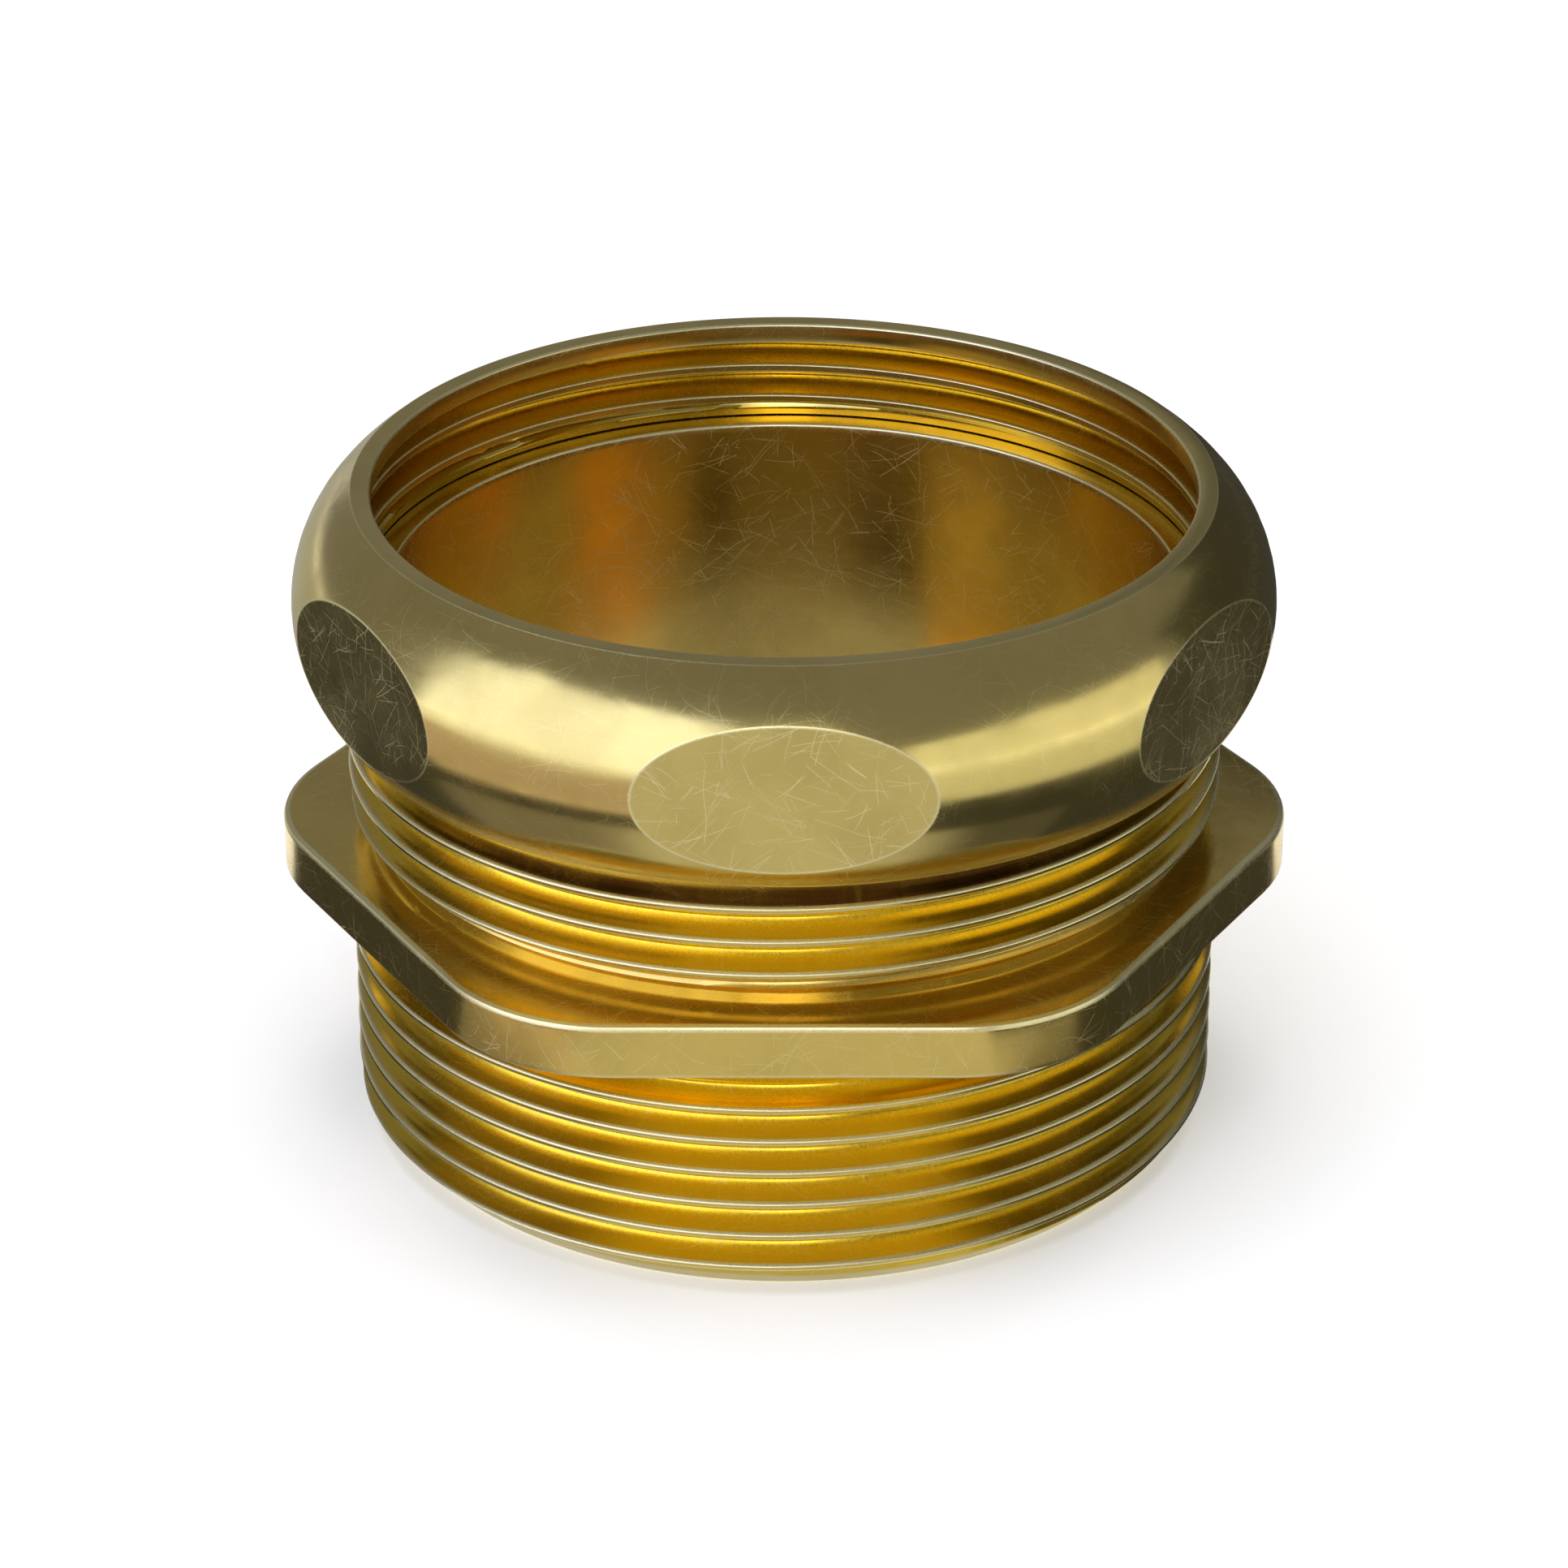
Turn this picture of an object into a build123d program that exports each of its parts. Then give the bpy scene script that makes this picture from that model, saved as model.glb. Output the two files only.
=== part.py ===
"""Trap adapter: a turned brass pipe fitting with a hex flange, and the slip nut on its upper thread."""
import os
from math import asin, cos, radians, sin, tan

from build123d import *

os.makedirs("parts", exist_ok=True)

# Sizes in millimetres. The foot of the fitting is at z = 0 and its axis is Z.

# Threads, turned as rings where they show
PITCH = 1.92
CREST_R = 24.13                 # 1-1/2 inch pipe thread, 48.26 mm over the crests
CREST_LAND = 0.30               # flat on each crest of the fitting
FLANK = tan(radians(30.0))      # flanks of a 60 degree vee
ROOT_R = CREST_R - (PITCH - CREST_LAND) / 2 / FLANK

# Fitting, from its foot up
TUBE_WALL = 2.53                # from the bore to the crests
BORE_BEVEL = 0.20
NECK_DEPTH = 1.65               # plain neck above the flange, in from the crests
FOOT_CHAMFER = 1.70
LOWER_COUNT, UPPER_COUNT = 6, 3
LOWER_NECK, UPPER_NECK = 1.74, 0.33
COVERED = 6.04                  # plain stretch under the nut
END_CHAMFER = 0.40              # top end, inside the nut
BORE_R = CREST_R - TUBE_WALL
NECK_R = CREST_R - NECK_DEPTH

# Hex flange
FLANGE_REACH = 1.40             # from the crests out to a flat
FLANGE_THICK = 3.24
FLANGE_CORNER_R = 10.0
FLANGE_BEVEL = 0.28
FLANGE_FLATS = 2 * (CREST_R + FLANGE_REACH)

# Slip nut
THREAD_GAP = 0.15               # radial play on the fitting's crests
NUT_COUNT = 2                   # thread rings that show above the fitting's end
NUT_RISE = 0.83                 # from that end up to the first of them
NUT_DEPTH = 1.35                # depth of the nut's thread
LIP_STEP = 0.83                 # lip at the top, wider than the bore by this much all round
LIP_HEIGHT = 1.15
RIM_WIDTH, FOOT_WIDTH = 1.04, 0.42
NUT_ABOVE = 6.52                # from the widest height up to the rim
FLAT_STEP = 0.40                # wider across its flats than the flange
FLAT_DEPTH = 1.17               # how far a flat cuts into the bulge
BULGE_STEPS = 4                 # short tapers above and below the upright band at the widest height
NUT_ROOT_R = CREST_R + THREAD_GAP
NUT_CREST_R = NUT_ROOT_R - NUT_DEPTH
LIP_R = BORE_R + LIP_STEP
NUT_FLATS = FLANGE_FLATS + FLAT_STEP
BULGE_R = NUT_FLATS / 2 + FLAT_DEPTH

# Heights that follow
LOWER_FIRST = FOOT_CHAMFER + CREST_LAND / 2
FLANGE_BOTTOM = LOWER_FIRST + PITCH * (LOWER_COUNT - 0.5) + LOWER_NECK
FLANGE_TOP = FLANGE_BOTTOM + FLANGE_THICK
UPPER_FIRST = FLANGE_TOP + UPPER_NECK + NECK_DEPTH + CREST_LAND / 2
NUT_BOTTOM = UPPER_FIRST - CREST_LAND / 2 + PITCH * UPPER_COUNT
HEIGHT = NUT_BOTTOM + COVERED
NUT_FIRST = HEIGHT + NUT_RISE
LIP_BOTTOM = NUT_FIRST + PITCH * (NUT_COUNT - 0.5) + (NUT_ROOT_R - LIP_R) * FLANK
NUT_TOP = LIP_BOTTOM + LIP_HEIGHT
WIDEST = NUT_TOP - NUT_ABOVE


def thread(first, count, crest, root, land=0.0):
    """Outline points up a run of thread, each crest followed by the root above it."""
    points = []
    for z in [first + PITCH * i for i in range(count)]:
        points += [(crest, z - land / 2), (crest, z + land / 2)] if land else [(crest, z)]
        points.append((root, z + PITCH / 2))
    return points


def half_bulge(end_r, end_z):
    """Outline points out to one rim of the nut, on an arc that is upright at the widest height."""
    inset, rise = BULGE_R - end_r, end_z - WIDEST
    curve = (inset**2 + rise**2) / (2 * inset)
    turns = [asin(rise / curve) * (i + 0.5) / (BULGE_STEPS + 0.5) for i in range(BULGE_STEPS + 1)]
    return [(BULGE_R - curve * (1 - cos(t)), WIDEST + curve * sin(t)) for t in turns]


with BuildPart() as adapter_body:
    # Tube with both threads, each starting from a 45 degree end; plain where the nut covers it
    with BuildSketch(Plane.XZ):
        with BuildLine():
            Polyline(
                (BORE_R, 0),
                (CREST_R - FOOT_CHAMFER, 0),
                *thread(LOWER_FIRST, LOWER_COUNT, CREST_R, ROOT_R, CREST_LAND),
                (ROOT_R, FLANGE_BOTTOM),
                (NECK_R, FLANGE_TOP),
                (NECK_R, FLANGE_TOP + UPPER_NECK),
                *thread(UPPER_FIRST, UPPER_COUNT, CREST_R, ROOT_R, CREST_LAND),
                (CREST_R, NUT_BOTTOM),
                (CREST_R, HEIGHT - END_CHAMFER),
                (CREST_R - END_CHAMFER, HEIGHT),
                (BORE_R + BORE_BEVEL, HEIGHT),
                (BORE_R, HEIGHT - BORE_BEVEL),
                close=True,
            )
        make_face()
    revolve(axis=Axis.Z)

    # Hex flange with broad rounded corners and a fine bevel on both rims
    with BuildSketch(Plane.XY.offset(FLANGE_BOTTOM)) as hexagon:
        RegularPolygon(FLANGE_FLATS / 2, 6, major_radius=False)
        fillet(hexagon.vertices(), FLANGE_CORNER_R)
    plate = extrude(amount=FLANGE_THICK, mode=Mode.PRIVATE)
    rims = plate.edges().filter_by(Axis.Z, reverse=True)
    add(plate.chamfer(FLANGE_BEVEL, None, rims))
    with Locations((0, 0, HEIGHT / 2)):
        Cylinder(BORE_R, HEIGHT + 2, mode=Mode.SUBTRACT)

with BuildPart() as slip_nut:
    # Bulged ring with a plain bore, two thread rings and the lip at its top
    with BuildSketch(Plane.XZ):
        with BuildLine():
            Polyline(
                *reversed(half_bulge(NUT_ROOT_R + FOOT_WIDTH, NUT_BOTTOM)),
                *half_bulge(LIP_R + RIM_WIDTH, NUT_TOP),
                (LIP_R, NUT_TOP),
                (LIP_R, LIP_BOTTOM),
                *reversed(thread(NUT_FIRST, NUT_COUNT, NUT_CREST_R, NUT_ROOT_R)),
                (NUT_ROOT_R, NUT_FIRST - PITCH / 2),
                (NUT_ROOT_R, NUT_BOTTOM),
                close=True,
            )
        make_face()
    revolve(axis=Axis.Z)

    # Six oval flats, where a hexagon trims the bulge
    with BuildSketch(Plane.XY.offset(NUT_BOTTOM - 1)):
        RegularPolygon(NUT_FLATS / 2, 6, major_radius=False)
    extrude(amount=NUT_TOP - NUT_BOTTOM + 2, mode=Mode.INTERSECT)

adapter_body.part.label = "adapter_body"
export_step(adapter_body.part, "parts/adapter_body.step")
slip_nut.part.label = "slip_nut"
export_step(slip_nut.part, "parts/slip_nut.step")
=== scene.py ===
"""Trap adapter in scratched brass: helical threads, hex flange, and a barrel slip nut with oval flats."""
import math

import bpy
import numpy as np
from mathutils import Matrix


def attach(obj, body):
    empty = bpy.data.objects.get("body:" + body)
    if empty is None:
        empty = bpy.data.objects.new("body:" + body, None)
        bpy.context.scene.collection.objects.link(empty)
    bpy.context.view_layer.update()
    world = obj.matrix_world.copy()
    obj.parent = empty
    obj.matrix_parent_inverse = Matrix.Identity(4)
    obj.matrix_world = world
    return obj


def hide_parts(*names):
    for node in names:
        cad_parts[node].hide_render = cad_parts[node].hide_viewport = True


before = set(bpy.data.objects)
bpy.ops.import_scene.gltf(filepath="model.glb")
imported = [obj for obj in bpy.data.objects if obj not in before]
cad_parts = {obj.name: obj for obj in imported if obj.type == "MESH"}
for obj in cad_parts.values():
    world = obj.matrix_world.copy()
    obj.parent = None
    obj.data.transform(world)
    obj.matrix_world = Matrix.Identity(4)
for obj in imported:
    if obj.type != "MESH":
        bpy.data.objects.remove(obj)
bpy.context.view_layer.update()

# Sizes in millimetres; meshes are made in metres. The fitting stands on z = 0 and its axis is Z.
MM = 0.001
TURN = 2 * math.pi
SIXTH = TURN / 6
FRONT = -math.pi / 2            # angle round the axis that faces the camera
COLUMNS = 240                   # vertices round the axis
THETA = TURN * np.arange(COLUMNS) / COLUMNS
SHARP_ANGLE = 42                # edges sharper than this, in degrees, aren't smoothed
TINY = 1e-9

# Fitting, from its foot up
PITCH = 1.92
CREST_R = 24.13
THREAD_DEPTH = 1.23
TUBE_WALL = 2.53                # from the bore to the crests
FOOT_CHAMFER, END_CHAMFER = 1.70, 0.35
FOOT_EDGE, END_EDGE = 0.12, 0.03            # height of the broken edges at the foot and the end
FIRST_CREST = 0.15              # from the end of a cone up to the first crest at the front
FLANGE_LOW, FLANGE_THICK = 14.15, 3.24
FLANGE_FLAT = CREST_R + 1.40
FLANGE_CORNER, FLANGE_BEVEL = 10.06, 0.30
NECK_DEPTH, NECK_HEIGHT = 1.65, 0.33
HEIGHT = 31.17
ROOT_R = CREST_R - THREAD_DEPTH
BORE_R = CREST_R - TUBE_WALL
FOOT_R = CREST_R - FOOT_CHAMFER
NECK_R = CREST_R - NECK_DEPTH
RELIEF_R, RELIEF_Z = 22.73, FLANGE_LOW - 1.0
FLANGE_HIGH = FLANGE_LOW + FLANGE_THICK
CONE_Z = FLANGE_HIGH + NECK_HEIGHT
LOWER_CREST = FOOT_CHAMFER + FIRST_CREST
UPPER_CREST = CONE_Z + NECK_DEPTH + FIRST_CREST
RUNOUT = (1.7, 1.0)             # heights between which the groove next to the foot fills up

# Slip nut
NUT_BOTTOM, NUT_TOP = 25.13, 37.098
NUT_FLAT = FLANGE_FLAT + 0.20
BULGE_R = NUT_FLAT + 1.17
BULGE_CURVE = 7.92              # radius of the bulge's arc
WIDEST = NUT_TOP - 6.52
RIM_TILT = 0.012                # the arc stops this much short of the rim, in radians
NUT_BORE_R = CREST_R + 0.15
NUT_THREAD_DEPTH = 1.33
NUT_CREST_R = NUT_BORE_R - NUT_THREAD_DEPTH
NUT_CREST = HEIGHT + 0.07       # height of an inner crest at the front
SHOULDER_R, SHOULDER_Z = NUT_CREST_R + 0.03, HEIGHT + 0.08
THREAD_START = (0.45, 0.85)     # the inner thread deepens between these heights over the shoulder
LIP_R, LIP_Z = BORE_R + 0.83, NUT_TOP - 1.148
LIP_EDGE = 0.05
LIP_HOLLOW = (1.8, 0.62)        # depth and height of the round hollow under the lip

# Rows of vertices over one pitch, closer together on the round edges of a crest
HALF_STEPS = [0.05, 0.09, 0.13, 0.17, 0.21, 0.25, 0.31, 0.40, 0.52, 0.66, 0.82]
STEPS = [-s for s in reversed(HALF_STEPS)] + HALF_STEPS + [PITCH / 2]
HALVINGS = 24                   # tries to find the line where a thread is trimmed
ROOT_POWER = 1.6                # how round the hollow of a root is
BORE_ROWS = (HEIGHT - 0.47, 24, 16, 8, 0.5)

# Rows of vertices on the nut
CLIMB_STEPS = 12                # from the widest height to the rim or the bottom
OVAL_SPREAD = 0.36              # how the rows fan out from an oval: sine of its half width
OVAL_EDGE = ((0.045, 0.6), (0.09, 0.1), (0.16, 0.0))    # distance from an oval's edge, wear with painted edge highlight
FLAT_SHARES = (0.12, 0.35, 0.6, 0.82)                   # of the way from a flat's middle to its edge
BULGE_SHARES = (0.08, 0.2, 0.36, 0.55, 0.77)            # of the way from there to the sector's edge

# Weights of wear with painted edge highlights, of painted bounce light (deep gold) in recesses, and of
# scuffs
CHAMFER_WEAR_AND_HIGHLIGHT = 0.25
CHAMFER_MARGIN = (0.02, 0.10)   # painted bounce light begins between these distances from the chamfer at the foot
BOUNCE_GLOW_R, NUT_BOUNCE_GLOW_R = CREST_R - 0.15, NUT_CREST_R + 0.10 # where painted bounce light begins in a groove
NECK_RISES = (0.0, 0.3, 1.3, 1.9)                       # above the neck
NECK_BOUNCE_GLOW = (0.12, 0.04, 0.04, 1.0)                     # share of painted bounce light there
FLANGE_BOUNCE_GLOW, FLANGE_BOUNCE_GLOW_R = 0.08, (27.2, 25.6)         # the painted bounce light fades in between these radii
UNDERSIDE_BOUNCE_GLOW, UNDERSIDE_RISES = 0.6, (1.9, 0.3)       # and in between these heights over the nut's bottom
# painted bounce light on the fitting's top end and on the nut's shoulder
END_BOUNCE_GLOW, SHOULDER_BOUNCE_GLOW, SHOULDER_RISE = 0.35, 0.35, 0.5
HIDDEN_Z = 28.0                                         # the nut's bore is fully painted with bounce light above this height
TURNED_SCUFF, FLANGE_SCUFF, FLAT_SCUFF = 0.35, 0.9, 1.0

# Colours of the brass, of its painted bounce light in hollows (the amber and deep gold), and of its
# scratches
FITTING_COLOURS = {
    "tint": (0.80, 0.60, 0.18), "dull": (0.70, 0.53, 0.16),
    "bounce_amber": (0.82, 0.57, 0.06), "bounce_deep": (1.0, 0.72, 0.04),
}
NUT_COLOURS = {
    "tint": (0.76, 0.61, 0.225), "dull": (0.67, 0.535, 0.19),
    "bounce_amber": (0.70, 0.48, 0.055), "bounce_deep": (0.90, 0.64, 0.04),
}
PALE_GOLD = (1.0, 0.93, 0.58)   # worn edges with painted edge highlights, and scratches
# painted shade: dark purple-brown in the thread's hollows under the nut's overhang
UNDER_NUT_SHADE = (0.08, 0.04, 0.075)
UNDER_NUT_SHADE_Z = (23.9, 26.0)        # under the nut, where the thread is painted dark as the nut's shadow
BOUNCE_AMBER_FULL = 0.35               # painted bounce weight at which the brass is all amber; deep gold comes beyond
# how pale the scratches turn, and the worn edges with their painted highlights
SCRATCH_TINT, WEAR_AND_HIGHLIGHT_TINT = 0.75, 0.95
HAIR = 0.022                    # half the width of a hair scratch
HAIR_CORE = 0.25                # share of that width at full strength
HAIR_BEND = 0.45
HAIR_ASIDE = 0.9                # how far a hair may lie from the middle of its cell, in spacings
HAIR_FAINTEST = 0.25
HAIR_FADE = (0.85, 0.45)        # hairs fade in between these distances from the middle, in spacings
HAIR_LAYERS = {1.6: 3.0, 2.5: 17.0, 4.0: 31.0}          # spacing of the hairs, place in the pattern
# how softly that painted shade under the nut fades in and out
UNDER_NUT_SHADE_FADE = 0.6

# Floor, and cards that only the metal reflects: azimuths in degrees from the front, right positive
FLOOR_REACH, FLOOR_GLOW = 4000, 0.30
OPEN_R = 21.5                   # reflections in the bore look through the floor under it
ARC_STEPS = 48
DARK, SHADE = (0.05, 0.05, 0.045), (0.10, 0.095, 0.085)
DIM, PALE = (0.24, 0.22, 0.20), (0.62, 0.61, 0.56)
CARD_Z, RING_Z, BELOW_Z = 0.1, 10, -100
NEAR, MIDDLE = 24, 70
FLOOR_CARDS = {
    "foot": ((-180, 180), (BORE_R, NEAR), (0.55, 0.54, 0.48)),
    "front": ((-24, 24), (NEAR, 300), PALE),
    "blush_near": ((-74, -24), (54, MIDDLE), (0.80, 0.68, 0.60)),
    "blush_far": ((-90, -24), (MIDDLE, 220), (0.56, 0.46, 0.42)),
    "left_near": ((-112, -74), (NEAR, MIDDLE), DARK),
    "left_far": ((-118, -90), (MIDDLE, 220), DARK),
    "left_shade": ((-74, -38), (NEAR, 54), DIM),
    "right_shade": ((38, 58), (NEAR, 53), SHADE),
    "right_mid": ((24, 58), (53, MIDDLE), (0.50, 0.48, 0.42)),
    "right_pale": ((24, 90), (MIDDLE, 300), (0.80, 0.80, 0.70)),
    "back": ((-185, -118), (60, 400), (0.45, 0.45, 0.42)),
    "right_near": ((58, 112), (NEAR, MIDDLE), DARK),
    "right_far": ((90, 175), (MIDDLE, 350), DARK),
}
FADES = {"left_fade": (-24, -38, 54, DIM), "right_fade": (24, 38, 53, SHADE)}
FADE_STEPS = 5
RING_CARDS = {"left_ring": ((-100, -22), (42, 51)), "right_ring": ((22, 100), (40, 65))}
WALL_R, WALL_TOP = 350, 190
BELOW_REACH = (30, 500)
BELOW_CARDS = (
    ((-150, -122), (0.05, 0.05, 0.04)),
    ((-122, -92), (0.30, 0.24, 0.14)),
    ((-92, -48), (0.62, 0.34, 0.08)),
    ((-48, 40), (0.34, 0.33, 0.30)),
    ((40, 92), (0.48, 0.42, 0.32)),
    ((92, 138), (0.05, 0.05, 0.05)),
    ((138, 210), (0.17, 0.15, 0.12)),
)

# Lights, in metres: azimuth, height, width and height of the box, colour, how bright it looks
BOX_DISTANCE = 0.55
SOFT_BOXES = {
    "key_left": (-50, 0.26, (0.80, 0.54), (0.92, 1.0, 1.36), 1.38),
    "fill_right": (60, 0.11, (0.74, 0.22), (1.0, 1.0, 0.88), 0.80),
    "fill_front": (0, 0.25, (0.20, 0.28), (1.0, 1.0, 1.0), 2.2),
}
OVERHEAD_SIZE, OVERHEAD_HEIGHT, OVERHEAD_WATTS = 0.9, 0.9, 5.5
WORLD_LEVEL = 0.21

# Camera
PHOTO_WIDTH, FOCAL_LENGTH = 1932, 6618      # in pixels of the photograph
SENSOR = 36.0
EYE_BACK, EYE_HEIGHT = 267.44, 153.59
EYE_DOWN = 26.79                            # degrees below level


def ramp(value, low, high):
    """0 at low, 1 at high, and a straight line between."""
    return np.clip((value - low) / (high - low), 0, 1)


class Shell:
    """Collects vertices and faces, with weights at each vertex for rubbed edges with painted edge
    highlights, for painted bounce light in hollows, and for scuffs.
    """

    def __init__(self):
        self.points = []
        self.faces = []
        self.weights = {"wear_and_highlight": [], "painted_bounce": [], "scuff": []}

    def add(self, xyz, wear_and_highlight=0.0, painted_bounce=0.0, scuff=TURNED_SCUFF):
        first = len(self.points)
        xyz = np.asarray(xyz, float)
        self.points.extend(map(tuple, xyz * MM))
        for title, weight in (("wear_and_highlight", wear_and_highlight), ("painted_bounce", painted_bounce), ("scuff", scuff)):
            self.weights[title].extend(np.broadcast_to(weight, len(xyz)).tolist())
        return np.arange(first, first + len(xyz))

    def ring(self, radius, z, wear_and_highlight=0.0, painted_bounce=0.0, scuff=TURNED_SCUFF):
        r = np.broadcast_to(radius, COLUMNS)
        xyz = np.stack([r * np.cos(THETA), r * np.sin(THETA), np.broadcast_to(z, COLUMNS)], 1)
        return self.add(xyz, wear_and_highlight, painted_bounce, scuff)

    def face(self, *corners):
        """A face without the corners that fall together."""
        kept = [int(c) for i, c in enumerate(corners) if c != corners[i - 1]]
        if len(set(kept)) > 2:
            self.faces.append(kept)

    def band(self, low, high):
        """Faces between two closed rings. The outside is on the right of the way from low to high."""
        n = len(low)
        for j in range(n):
            k = (j + 1) % n
            self.face(low[j], low[k], high[k], high[j])

    def chain(self, *rings):
        for low, high in zip(rings, rings[1:]):
            self.band(low, high)

    def build(self, name, material, node, body):
        mesh = bpy.data.meshes.new(name)
        mesh.from_pydata(self.points, [], self.faces)
        mesh.update()
        for title, weights in self.weights.items():
            mesh.attributes.new(title, "FLOAT", "POINT").data.foreach_set("value", weights)
        mesh.shade_smooth()
        mesh.set_sharp_from_angle(angle=math.radians(SHARP_ANGLE))
        mesh.materials.append(material)
        piece = bpy.data.objects.new(name, mesh)
        bpy.context.scene.collection.objects.link(piece)
        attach(piece, body)
        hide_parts(node)


def helix(shell, low, high, crest, radius, cap, wear_and_highlight, painted_bounce, inside=False):
    """A right-hand thread between two heights, on a grid whose rows climb with the thread.

    crest is the height of a crest at the front, radius(w) the thread at height w from a crest, and
    cap(r, z) trims it; wear(w, r, z) weighs its rubbed edges and painted edge highlights, and
    recess(r, z) its painted bounce light. Returns the closed rings at its bottom and top.
    """
    start = crest - PITCH * FRONT / TURN
    turns = range(int((low - start) // PITCH) - 2, int((high - start) // PITCH) + 3)
    rows = np.array([start + PITCH * turn + step for turn in turns for step in STEPS])

    def from_crest(z, lift):
        w = z - lift - start
        return w - PITCH * np.round(w / PITCH)

    def trimmed(z, lift):
        r = radius(from_crest(z, lift))
        return np.abs(r - cap(r, z)) > TINY

    columns = []
    for j, angle in enumerate(THETA):
        lift = PITCH * j / COLUMNS
        z = rows + lift

        # a row next to the line where the trim meets the thread moves onto that line
        state = trimmed(z, lift)
        for i in np.nonzero(state[:-1] != state[1:])[0]:
            a, b = z[i], z[i + 1]
            for _ in range(HALVINGS):
                middle = (a + b) / 2
                if trimmed(middle, lift) == state[i]:
                    a = middle
                else:
                    b = middle
            nearer = i if abs(a - z[i]) < abs(a - z[i + 1]) else i + 1
            z[nearer] = a

        z = np.clip(z, low, high)
        w = from_crest(z, lift)
        r = cap(radius(w), z)
        new = np.concatenate([[True], np.diff(z) > TINY])
        xyz = np.stack([r * math.cos(angle), r * math.sin(angle), z], 1)
        made = shell.add(xyz[new], wear_and_highlight(w, r, z)[new], painted_bounce(r, z)[new])
        columns.append(made[np.cumsum(new) - 1])

    for j, here in enumerate(columns):
        there = columns[(j + 1) % COLUMNS]
        if j == COLUMNS - 1:
            # after a whole turn the rows meet those one pitch further up
            there = np.concatenate([there[len(STEPS):], np.repeat(there[-1], len(STEPS))])
        for i in range(len(rows) - 1):
            corners = (here[i], there[i], there[i + 1], here[i + 1])
            shell.face(*(corners[::-1] if inside else corners))
    return [column[0] for column in columns], [column[-1] for column in columns]


def groove(w, depth, land, edge, drop, hollow):
    """How far a thread lies below its crests at height w from one.

    A crest is flat out to land and rounds off by drop out to edge; the root is a hollow beyond it.
    """
    w = np.abs(w)
    crest = drop * np.clip((w - land) / (edge - land), 0, None) ** 2
    root = depth - hollow * (1 - ramp(w, edge, PITCH / 2)) ** ROOT_POWER
    return np.where(w < edge, crest, root)


def edge_line(w, below, heights, land, reach):
    """Weight along both edges of a crest, where the surface lies less than reach below it: rubbed edges
    with a painted highlight.
    """
    return np.where(below < reach, np.interp(np.abs(w), heights, (land, 1, 1, 0)), 0)


def male(w):
    return CREST_R - groove(w, THREAD_DEPTH, land=0.05, edge=0.27, drop=0.26, hollow=0.90)


def female(w):
    return NUT_CREST_R + groove(w, NUT_THREAD_DEPTH, land=0.16, edge=0.30, drop=0.22, hollow=1.10)


def male_wear_and_highlight(w, r, z):
    """Pale lines along the crests, rubbed edges with painted highlights, and the pale chamfer at the foot,
    rubbed and with a painted paler reflection.
    """
    line = edge_line(w, CREST_R - r, heights=(0.05, 0.09, 0.17, 0.25), land=0, reach=0.30)
    return np.maximum(line, CHAMFER_WEAR_AND_HIGHLIGHT * (r > FOOT_R + z - CHAMFER_MARGIN[0]))


# pale lines along the inner crests: worn edges with painted highlights
def female_wear_and_highlight(w, r, z):
    return edge_line(w, r - NUT_CREST_R, heights=(0.14, 0.17, 0.21, 0.26), land=0.1, reach=0.35)


def hexagon(flat, corner):
    """Radius of a hexagon with round corners at each column; one flat faces the front."""
    half = SIXTH / 2
    a = np.abs((THETA - FRONT + half) % SIXTH - half)
    centre = (flat - corner) / math.cos(half)
    off = half - a
    rounded = centre * np.cos(off) + np.sqrt(np.maximum(corner**2 - (centre * np.sin(off)) ** 2, 0))
    on_corner = np.tan(a) * flat > (flat - corner) * math.tan(half)
    return np.where(on_corner, rounded, flat / np.cos(a))


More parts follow.
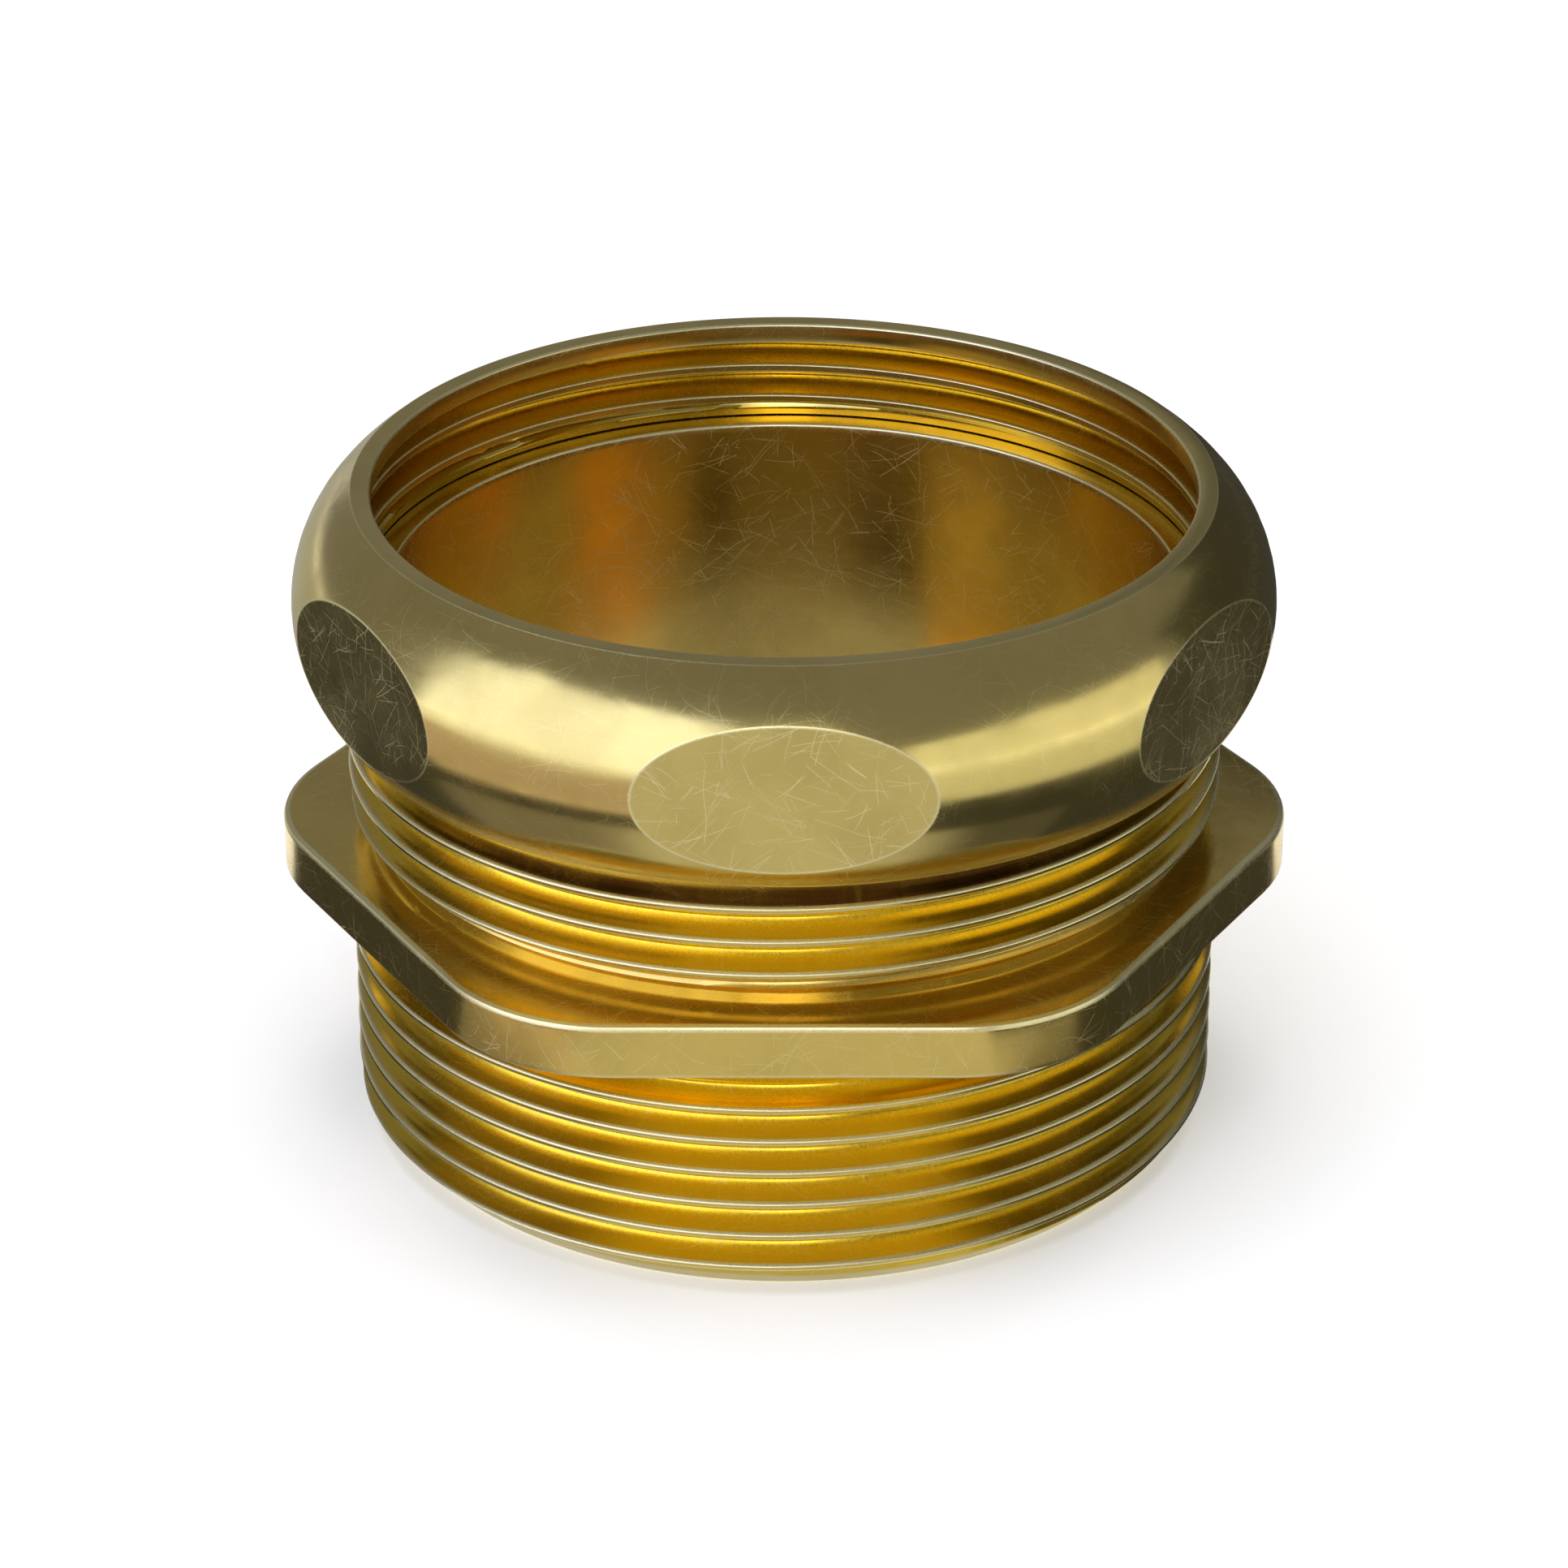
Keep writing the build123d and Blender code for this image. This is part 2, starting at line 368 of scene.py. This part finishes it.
def make_fitting(material):
    s = Shell()

    def lower_cap(r, z):
        """Trims to the 45 degree end at the foot, and to the relief under the flange."""
        cone = FOOT_R + z
        filled = np.maximum(np.minimum(cone, CREST_R), r)
        r = r + (filled - r) * ramp(z, *RUNOUT)
        return np.minimum.reduce([r, cone, np.maximum(RELIEF_R, RELIEF_R + RELIEF_Z - z)])

    def upper_cap(r, z):
        """Trims to the cone above the neck, and to the 45 degree end at the top."""
        cone = NECK_R + np.maximum(z - CONE_Z, 0)
        return np.minimum.reduce([r, cone, CREST_R - END_CHAMFER + HEIGHT - z])

    # painted bounce light: the thread's hollows painted deep gold for light reflected between its flanks
    def lower_painted_bounce(r, z):
        return ramp(r, BOUNCE_GLOW_R, ROOT_R) * ramp(FOOT_R + z - r, *CHAMFER_MARGIN)

    def upper_painted_bounce(r, z):
        return ramp(r, BOUNCE_GLOW_R, ROOT_R) * np.interp(z - CONE_Z, NECK_RISES, NECK_BOUNCE_GLOW)

    low, low_top = helix(
        s, FOOT_EDGE, FLANGE_LOW, LOWER_CREST, male, lower_cap, male_wear_and_highlight, lower_painted_bounce
    )
    high, high_top = helix(
        s, FLANGE_HIGH, HEIGHT - END_EDGE, UPPER_CREST, male, upper_cap, male_wear_and_highlight, upper_painted_bounce
    )

    # from the top end down the bore to the foot: radius, height, wear with painted highlight, painted
    # bounce light, scuff
    end_r = np.array([math.hypot(*s.points[i][:2]) for i in high_top]) / MM
    outline = [
        (end_r - 0.05, HEIGHT, 0.3, END_BOUNCE_GLOW),
        (end_r - 0.12, HEIGHT, 0.0, END_BOUNCE_GLOW),
        (BORE_R + 0.16, HEIGHT, 0.0, 0.3),
        (BORE_R + 0.10, HEIGHT, 0.7),
        (BORE_R + 0.03, HEIGHT - 0.06, 0.9),
        (BORE_R, HEIGHT - 0.17, 0.6, 0.0, FLAT_SCUFF),
        *[(BORE_R, z, 0.0, 0.0, FLAT_SCUFF) for z in BORE_ROWS],
        (BORE_R, 0.16, 0.8, 0.0, FLAT_SCUFF),
        (BORE_R + 0.16, 0, 0.5),
        (FOOT_R - 0.06, 0, 0.5),
        (FOOT_R + 0.03, 0.03, 0.7),
    ]
    s.chain(high_top, *[s.ring(*row) for row in outline], low)

    # flange from its underside round to its top: how far in from the side, height, wear with painted
    # highlight
    b = FLANGE_BEVEL
    side = [
        (b + 0.10, FLANGE_LOW, 0.0),
        (b, FLANGE_LOW + 0.02, 0.5),
        (0.10, FLANGE_LOW + 0.15, 0.8),
        (0.0, FLANGE_LOW + b, 0.4),
        (0.0, FLANGE_LOW + b + 0.10, 0.0),
        (0.0, FLANGE_HIGH - b - 0.10, 0.0),
        (0.0, FLANGE_HIGH - b, 0.6),
        (0.09, FLANGE_HIGH - 0.10, 1.0),
        (b, FLANGE_HIGH - 0.01, 0.9),
        (b + 0.10, FLANGE_HIGH, 0.0),
    ]
    rings = []
    for inset, z, wear_and_highlight in side:
        r = hexagon(FLANGE_FLAT - inset, FLANGE_CORNER - inset)
        # painted bounce light on the flange's top and underside near the thread
        bounce_glow = FLANGE_BOUNCE_GLOW * ramp(r, *FLANGE_BOUNCE_GLOW_R) if z in (FLANGE_LOW, FLANGE_HIGH) else 0.0
        rings.append(s.ring(r, z, wear_and_highlight, bounce_glow, FLANGE_SCUFF))
    s.chain(low_top, *rings, high)
    s.build("fitting", material, "adapter_body", "body")


def make_nut(material):
    s = Shell()
    tilt_low = math.asin((NUT_BOTTOM - WIDEST) / BULGE_CURVE)
    tilt_high = math.asin((NUT_TOP - WIDEST) / BULGE_CURVE) - RIM_TILT

    def bulge_r(tilt):
        return BULGE_R - BULGE_CURVE + BULGE_CURVE * np.cos(tilt)

    def add_bulge(around, tilt, wear_and_highlight=0.0):
        """Vertices on the bulge, by angles round the axis and up its arc from the widest height."""
        r = bulge_r(tilt)
        z = WIDEST + BULGE_CURVE * np.sin(tilt)
        # painted bounce light on the nut's underside, which faces the lit thread and flange
        bounce_glow = UNDERSIDE_BOUNCE_GLOW * ramp(z - NUT_BOTTOM, *UNDERSIDE_RISES)
        return s.add(np.stack([r * np.cos(around), r * np.sin(around), z], 1), wear_and_highlight, bounce_glow)

    # outline of one sixth of the bulge, by the same two angles
    half = SIXTH / 2
    across = np.linspace(-half, half, COLUMNS // 6 + 1)
    below, above = (np.linspace(0, end, CLIMB_STEPS + 1)[1:] for end in (tilt_low, tilt_high))
    climb = np.concatenate([below[::-1], [0], above])
    edge = np.array(
        [(half, tilt) for tilt in climb[:-1]]
        + [(around, tilt_high) for around in across[:0:-1]]
        + [(-half, tilt) for tilt in climb[:0:-1]]
        + [(around, tilt_low) for around in across[:-1]]
    )

    # the oval that a flat cuts into the bulge, with a point for each point of that outline
    oval_tilt = math.acos((NUT_FLAT - BULGE_R + BULGE_CURVE) / BULGE_CURVE)
    spoke = np.arctan2(np.sin(edge[:, 1]) / math.sin(oval_tilt), np.sin(edge[:, 0]) / OVAL_SPREAD)
    rise = BULGE_CURVE * math.sin(oval_tilt) * np.sin(spoke)
    r = BULGE_R - BULGE_CURVE + np.sqrt(BULGE_CURVE**2 - rise**2)
    aside = np.sign(np.cos(spoke)) * np.sqrt(np.maximum(r**2 - NUT_FLAT**2, 0))
    reach = np.hypot(aside, rise)
    oval = np.stack([np.arctan2(aside, NUT_FLAT), np.arcsin(rise / BULGE_CURVE)], 1)
    along = np.hypot(oval[:, 0] * NUT_FLAT, oval[:, 1] * BULGE_CURVE)

    def flat_ring(turn, inset, wear_and_highlight=0.0):
        """Vertices on the flat that faces turn, inside its outline by inset."""
        size = 1 - inset / reach
        x = NUT_FLAT * math.cos(turn) - aside * size * math.sin(turn)
        y = NUT_FLAT * math.sin(turn) + aside * size * math.cos(turn)
        return s.add(np.stack([x, y, WIDEST + rise * size], 1), wear_and_highlight, 0.0, FLAT_SCUFF)

    shared = {}
    for k in range(6):
        turn = FRONT + k * SIXTH
        rings = [flat_ring(turn, (1 - share) * reach) for share in FLAT_SHARES]
        rings += [flat_ring(turn, gap, wear_and_highlight) for gap, wear_and_highlight in reversed(OVAL_EDGE)]
        for gap, wear_and_highlight in OVAL_EDGE:
            near = oval * (1 + gap / along)[:, None]
            rings.append(add_bulge(turn + near[:, 0], near[:, 1], wear_and_highlight))
        for share in BULGE_SHARES:
            way = near + (edge - near) * share
            rings.append(add_bulge(turn + way[:, 0], way[:, 1]))

        # neighbouring sectors share the vertices of their common edge
        last = []
        for around, tilt in edge:
            key = (round((turn + around) / TURN * COLUMNS) % COLUMNS, tilt)
            if key not in shared:
                shared[key] = add_bulge(np.array([turn + around]), np.array([tilt]))[0]
            last.append(shared[key])
        rings.append(last)
        for inner, outer in zip(rings, rings[1:]):
            s.band(outer, inner)
        middle = (NUT_FLAT * math.cos(turn), NUT_FLAT * math.sin(turn), WIDEST)
        centre = s.add([middle], 0.0, 0.0, FLAT_SCUFF)[0]
        for j, vertex in enumerate(rings[0]):
            s.face(vertex, centre, rings[0][j - 1])
    top, bottom = ([shared[j, tilt] for j in range(COLUMNS)] for tilt in (tilt_high, tilt_low))

    def inner_cap(r, z):
        """Trims to the plain shoulder where the thread starts, and to the hollow under the lip."""
        start = ramp(z - SHOULDER_Z, *THREAD_START)
        r = SHOULDER_R + (r - SHOULDER_R) * start * start * (3 - 2 * start)
        depth, height = LIP_HOLLOW
        return np.minimum(r, LIP_R + LIP_EDGE + depth * np.sqrt(ramp(LIP_Z - z, 0, height)))

    # painted bounce light in the inner thread's hollows and on the shoulder
    def inner_painted_bounce(r, z):
        shoulder = SHOULDER_BOUNCE_GLOW * (z < SHOULDER_Z + SHOULDER_RISE)
        return np.maximum(ramp(r, NUT_BOUNCE_GLOW_R, NUT_BORE_R), shoulder)

    thread_low, thread_high = helix(
        s, SHOULDER_Z, LIP_Z, NUT_CREST, female, inner_cap, female_wear_and_highlight, inner_painted_bounce, inside=True
    )

    # over the rim down to the thread, then from the thread down the bore: radius, height, wear with painted
    # highlight, painted bounce light
    rim_r = bulge_r(tilt_high)
    rim = [
        (rim_r - 0.05, NUT_TOP, 0.6),
        (rim_r - 0.14, NUT_TOP, 0.0),
        (LIP_R + 0.16, NUT_TOP, 0.05),
        (LIP_R + 0.09, NUT_TOP - 0.015, 1.0),
        (LIP_R + 0.02, NUT_TOP - 0.09, 1.0),
        (LIP_R, NUT_TOP - 0.17, 0.2),
        (LIP_R, LIP_Z + 0.12, 0.0),
        (LIP_R + 0.03, LIP_Z + 0.04, 0.6),
    ]
    bore = [
        (NUT_BORE_R, SHOULDER_Z, 0.0, 1.0),
        (NUT_BORE_R, HIDDEN_Z, 0.0, 1.0),
        (NUT_BORE_R, NUT_BOTTOM + 0.12, 0.4),
        (NUT_BORE_R + 0.10, NUT_BOTTOM, 0.6),
    ]
    s.chain(top, *[s.ring(*row) for row in rim], thread_high)
    s.chain(thread_low, *[s.ring(*row) for row in bore], bottom)
    s.build("barrel_nut", material, "slip_nut", "nut")


class Nodes:
    """Short ways to add and wire shader nodes."""

    def __init__(self, material):
        material.use_nodes = True
        self.tree = material.node_tree
        self.tree.nodes.clear()

    def add(self, kind, **settings):
        node = self.tree.nodes.new("ShaderNode" + kind)
        for key, value in settings.items():
            setattr(node, key, value)
        return node

    def wire(self, value, socket):
        if isinstance(value, bpy.types.NodeSocket):
            self.tree.links.new(value, socket)
        else:
            socket.default_value = value

    def math(self, operation, *values, clamp=False):
        node = self.add("Math", operation=operation, use_clamp=clamp)
        for value, socket in zip(values, node.inputs):
            self.wire(value, socket)
        return node.outputs[0]

    def largest(self, values):
        result = values[0]
        for value in values[1:]:
            result = self.math("MAXIMUM", result, value)
        return result

    def vector(self, operation, first, second=None, scale=None):
        node = self.add("VectorMath", operation=operation)
        self.wire(first, node.inputs[0])
        if second is not None:
            self.wire(second, node.inputs[1])
        if scale is not None:
            self.wire(scale, node.inputs["Scale"])
        return node.outputs["Value" if operation == "DOT_PRODUCT" else "Vector"]

    def combine(self, *values):
        node = self.add("CombineXYZ")
        for value, socket in zip(values, node.inputs):
            self.wire(value, socket)
        return node.outputs[0]

    def span(self, value, low, high, to_low=0.0, to_high=1.0):
        node = self.add("MapRange", interpolation_type="SMOOTHSTEP")
        for socket, number in zip(node.inputs, (value, low, high, to_low, to_high)):
            self.wire(number, socket)
        return node.outputs[0]

    def noise(self, vector, scale, detail=2.0, rough=0.5, output="Fac"):
        node = self.add("TexNoise")
        self.wire(vector, node.inputs["Vector"])
        node.inputs["Scale"].default_value = scale
        node.inputs["Detail"].default_value = detail
        node.inputs["Roughness"].default_value = rough
        return node.outputs[output]

    def mix(self, factor, first, second):
        node = self.add("Mix", data_type="RGBA")
        self.wire(factor, node.inputs["Factor"])
        for value, socket in ((first, node.inputs[6]), (second, node.inputs[7])):
            self.wire((*value, 1) if isinstance(value, tuple) else value, socket)
        return node.outputs[2]

    def finish(self, shader):
        self.tree.links.new(shader.outputs[0], self.add("OutputMaterial").inputs["Surface"])


def hairs(n, place, normal, spacing, offset):
    """Three hair scratches in each cell of a random pattern, each at its own angle on the surface."""
    moved = n.vector("ADD", place, (offset, 0.6 * offset, -offset))
    cell = n.add("TexVoronoi")
    n.wire(moved, cell.inputs["Vector"])
    cell.inputs["Scale"].default_value = 1 / spacing
    reach = n.vector("SUBTRACT", moved, cell.outputs["Position"])
    chance = n.add("SeparateColor")
    n.wire(cell.outputs["Color"], chance.inputs[0])
    lines = []
    for turn in range(3):
        channels = [chance.outputs[(turn + i) % 3] for i in range(3)]
        way = n.vector("SUBTRACT", n.combine(*channels), (0.5, 0.5, 0.5))
        lean = n.vector("DOT_PRODUCT", way, normal)
        way = n.vector("NORMALIZE", n.vector("SUBTRACT", way, n.vector("SCALE", normal, scale=lean)))
        aside = n.math("MULTIPLY", n.math("SUBTRACT", channels[0], 0.5), HAIR_ASIDE * spacing)
        off = n.math("SUBTRACT", n.vector("DOT_PRODUCT", reach, way), aside)
        line = n.span(n.math("ABSOLUTE", off), HAIR, HAIR_CORE * HAIR)
        lines.append(n.math("MULTIPLY", line, n.span(channels[1], 0.1, 0.9, HAIR_FAINTEST, 1.0)))
    return n.math("MULTIPLY", n.largest(lines), n.span(cell.outputs["Distance"], *HAIR_FADE))


def brass(name, tint, dull, bounce_amber, bounce_deep, under_nut_shade=None):
    """Machined brass: cloudy tone, turning marks, hair scratches, rubbed edges with painted edge
    highlights, and painted bounce light in hollows.

    tarnish gives the heights of a band of painted shade in the hollows under the nut.
    """
    material = bpy.data.materials.new(name)
    n = Nodes(material)
    source = n.add("TexCoord")
    normal = source.outputs["Normal"]
    place = n.vector("SCALE", source.outputs["Object"], scale=1 / MM)
    wear_and_highlight, painted_bounce, scuff = (
        n.add("Attribute", attribute_name=title).outputs["Fac"] for title in ("wear_and_highlight", "painted_bounce", "scuff")
    )
    clouds = n.noise(place, 0.16, 3.0, 0.6)
    grain = n.noise(place, 6.0)

    # hair scratches, bent a little and denser in some places
    bend = n.vector("SUBTRACT", n.noise(place, 0.45, 0.0, output="Color"), (0.5, 0.5, 0.5))
    bent = n.vector("ADD", place, n.vector("SCALE", bend, scale=HAIR_BEND))
    lines = n.largest([hairs(n, bent, normal, spacing, offset) for spacing, offset in HAIR_LAYERS.items()])
    patches = n.span(clouds, 0.32, 0.56, 0.45, 1.0)
    scratches = n.math("MULTIPLY", n.math("MULTIPLY", lines, patches), scuff)

    # marks of turning run round the axis
    parts = n.add("SeparateXYZ")
    n.wire(place, parts.inputs[0])
    x, y, z = parts.outputs
    radius = n.math("SQRT", n.math("ADD", n.math("MULTIPLY", x, x), n.math("MULTIPLY", y, y)))
    around = n.math("MULTIPLY", n.math("ARCTAN2", y, x), 0.8)
    turning = n.noise(n.combine(radius, z, around), 6.0, 2.0, 0.6)

    # tone
    base = n.mix(n.span(clouds, 0.35, 0.68), tint, dull)
    # painted bounce light: amber, then deep gold, in the hollows where light reflects between brass faces
    base = n.mix(n.span(painted_bounce, 0.0, BOUNCE_AMBER_FULL), base, bounce_amber)
    deepest_bounce = n.math("MULTIPLY", n.span(painted_bounce, BOUNCE_AMBER_FULL, 1.0), n.span(grain, 0.2, 0.7))
    base = n.mix(deepest_bounce, base, bounce_deep)
    # painted shade: hollows under the nut's overhang turn dark
    if under_nut_shade:
        low, high = under_nut_shade
        start, end = n.span(z, low, low + UNDER_NUT_SHADE_FADE), n.span(z, high + UNDER_NUT_SHADE_FADE, high)
        inside = n.math("MULTIPLY", start, end)
        base = n.mix(n.math("MULTIPLY", inside, n.span(painted_bounce, 0.05, 0.4)), base, UNDER_NUT_SHADE)
    base = n.mix(n.math("MULTIPLY", scratches, SCRATCH_TINT), base, PALE_GOLD)
    # edges turn pale, partly as wear and partly as a painted highlight
    worn_and_highlight = n.math("MULTIPLY", wear_and_highlight, n.span(grain, 0.30, 0.60, 0.8, 1.0))
    base = n.mix(n.math("MULTIPLY", worn_and_highlight, WEAR_AND_HIGHLIGHT_TINT), base, PALE_GOLD)

    # roughness
    rough = n.span(clouds, 0.3, 0.7, 0.15, 0.25)
    uneven = n.math("SUBTRACT", turning, 0.5)
    grainy = n.math("SUBTRACT", grain, 0.5)
    for weight, amount in ((uneven, 0.08), (grainy, 0.06), (painted_bounce, 0.06), (worn_and_highlight, 0.20), (scratches, 0.30)):
        rough = n.math("MULTIPLY_ADD", weight, amount, rough, clamp=True)

    # fine relief
    bump = n.add("Bump")
    bump.inputs["Strength"].default_value = 0.10
    bump.inputs["Distance"].default_value = 0.02 * MM
    height = n.math("ADD", n.math("MULTIPLY", turning, 0.06), n.math("MULTIPLY", grain, 0.12))
    n.wire(height, bump.inputs["Height"])

    shader = n.add("BsdfPrincipled")
    shader.inputs["Metallic"].default_value = 1.0
    n.wire(base, shader.inputs["Base Color"])
    n.wire(rough, shader.inputs["Roughness"])
    n.wire(bump.outputs[0], shader.inputs["Normal"])
    n.finish(shader)
    return material


def floor_white():
    """Pale floor: lit by the lamps, with a little of its own white for the camera and for reflections."""
    material = bpy.data.materials.new("floor_white")
    n = Nodes(material)
    paint = n.add("BsdfDiffuse")
    paint.inputs["Color"].default_value = (0.9, 0.9, 0.9, 1)
    path = n.add("LightPath")
    seen = n.largest([path.outputs[f"Is {kind} Ray"] for kind in ("Camera", "Glossy", "Transmission")])
    glow = n.add("Emission")
    n.wire(n.math("MULTIPLY", seen, FLOOR_GLOW), glow.inputs["Strength"])
    both = n.add("AddShader")
    n.wire(paint.outputs[0], both.inputs[0])
    n.wire(glow.outputs[0], both.inputs[1])
    n.finish(both)
    return material


def card_paint(name, colour):
    material = bpy.data.materials.new(name)
    n = Nodes(material)
    shader = n.add("Emission")
    shader.inputs["Color"].default_value = (*colour, 1)
    n.finish(shader)
    # only reflections find the cards, so they aren't sampled as lamps
    material.cycles.emission_sampling = "NONE"
    return material


def arc(name, azimuth, inner, outer, material):
    """A staged band between two arcs, each given as radius and height."""
    turns = np.radians(np.linspace(*azimuth, ARC_STEPS + 1))
    points = []
    for r, z in (inner, outer):
        points += [(r * math.sin(a) * MM, -r * math.cos(a) * MM, z * MM) for a in turns]
    faces = [(j, j + 1, ARC_STEPS + j + 2, ARC_STEPS + j + 1) for j in range(ARC_STEPS)]
    mesh = bpy.data.meshes.new(name)
    mesh.from_pydata(points, [], faces)
    mesh.materials.append(material)
    obj = bpy.data.objects.new(name, mesh)
    bpy.context.scene.collection.objects.link(obj)
    return obj


def card(name, azimuth, inner, outer, colour):
    """A card that only the metal's reflections see."""
    obj = arc(name, azimuth, inner, outer, card_paint(name, colour))
    for ray in ("camera", "diffuse", "transmission", "volume_scatter", "shadow"):
        setattr(obj, "visible_" + ray, False)


def make_floor():
    paint = floor_white()
    arc("floor", (-180, 180), (OPEN_R, 0), (FLOOR_REACH, 0), paint)
    arc("floor_under_bore", (-180, 180), (0, 0), (OPEN_R, 0), paint).visible_glossy = False


def make_cards():
    for name, (azimuth, (inner, outer), colour) in FLOOR_CARDS.items():
        card(name, azimuth, (inner, CARD_Z), (outer, CARD_Z), colour)
    # the front card fades into the shades beside it
    for name, (start, end, outer, shade) in FADES.items():
        for i in range(FADE_STEPS):
            azimuth = [start + (end - start) * (i + side) / FADE_STEPS for side in (0, 1)]
            colour = [a + (b - a) * (i + 0.5) / FADE_STEPS for a, b in zip(PALE, shade)]
            card(f"{name}_{i}", azimuth, (NEAR, CARD_Z), (outer, CARD_Z), colour)
    card("right_wall", (100, 175), (WALL_R, 0.5), (WALL_R, WALL_TOP), DARK)
    for name, (azimuth, (inner, outer)) in RING_CARDS.items():
        card(name, azimuth, (inner, RING_Z), (outer, RING_Z), DARK)
    inner, outer = BELOW_REACH
    for i, (azimuth, colour) in enumerate(BELOW_CARDS):
        card(f"below_{i}", azimuth, (inner, BELOW_Z), (outer, BELOW_Z), colour)


def soft_box(name, azimuth, height, size, colour, level):
    """An upright soft box facing the axis; level is how bright it looks, with white as 1."""
    light = bpy.data.lights.new(name, "AREA")
    light.shape = "RECTANGLE"
    light.size, light.size_y = size
    light.color = colour
    light.energy = math.pi * size[0] * size[1] * level
    obj = bpy.data.objects.new(name, light)
    a = math.radians(azimuth)
    obj.location = (BOX_DISTANCE * math.sin(a), -BOX_DISTANCE * math.cos(a), height)
    obj.rotation_euler = (math.pi / 2, 0, a)
    obj.visible_camera = False
    bpy.context.scene.collection.objects.link(obj)


def make_overhead():
    """A soft lamp above, which the metal doesn't mirror."""
    light = bpy.data.lights.new("overhead", "AREA")
    light.shape = "DISK"
    light.size = OVERHEAD_SIZE
    light.energy = OVERHEAD_WATTS
    obj = bpy.data.objects.new("overhead", light)
    obj.location = (0, 0, OVERHEAD_HEIGHT)
    obj.visible_glossy = False
    obj.visible_camera = False
    bpy.context.scene.collection.objects.link(obj)


def make_world():
    world = bpy.data.worlds.new("studio")
    bpy.context.scene.world = world
    world.use_nodes = True
    background = world.node_tree.nodes["Background"]
    background.inputs["Color"].default_value = (1, 1, 1, 1)
    background.inputs["Strength"].default_value = WORLD_LEVEL


def make_camera():
    camera = bpy.data.cameras.new("camera")
    camera.sensor_width = SENSOR
    camera.lens = SENSOR * FOCAL_LENGTH / PHOTO_WIDTH
    camera.clip_start = 0.01
    eye = bpy.data.objects.new("camera", camera)
    eye.location = (0, -EYE_BACK * MM, EYE_HEIGHT * MM)
    eye.rotation_euler = (math.radians(90 - EYE_DOWN), 0, 0)
    bpy.context.scene.collection.objects.link(eye)
    bpy.context.scene.camera = eye


make_fitting(brass("fitting_brass", **FITTING_COLOURS, under_nut_shade=UNDER_NUT_SHADE_Z))
make_nut(brass("nut_brass", **NUT_COLOURS))
make_floor()
make_cards()
for name, settings in SOFT_BOXES.items():
    soft_box(name, *settings)
make_overhead()
make_world()
make_camera()
bpy.context.scene.view_settings.view_transform = "Standard"
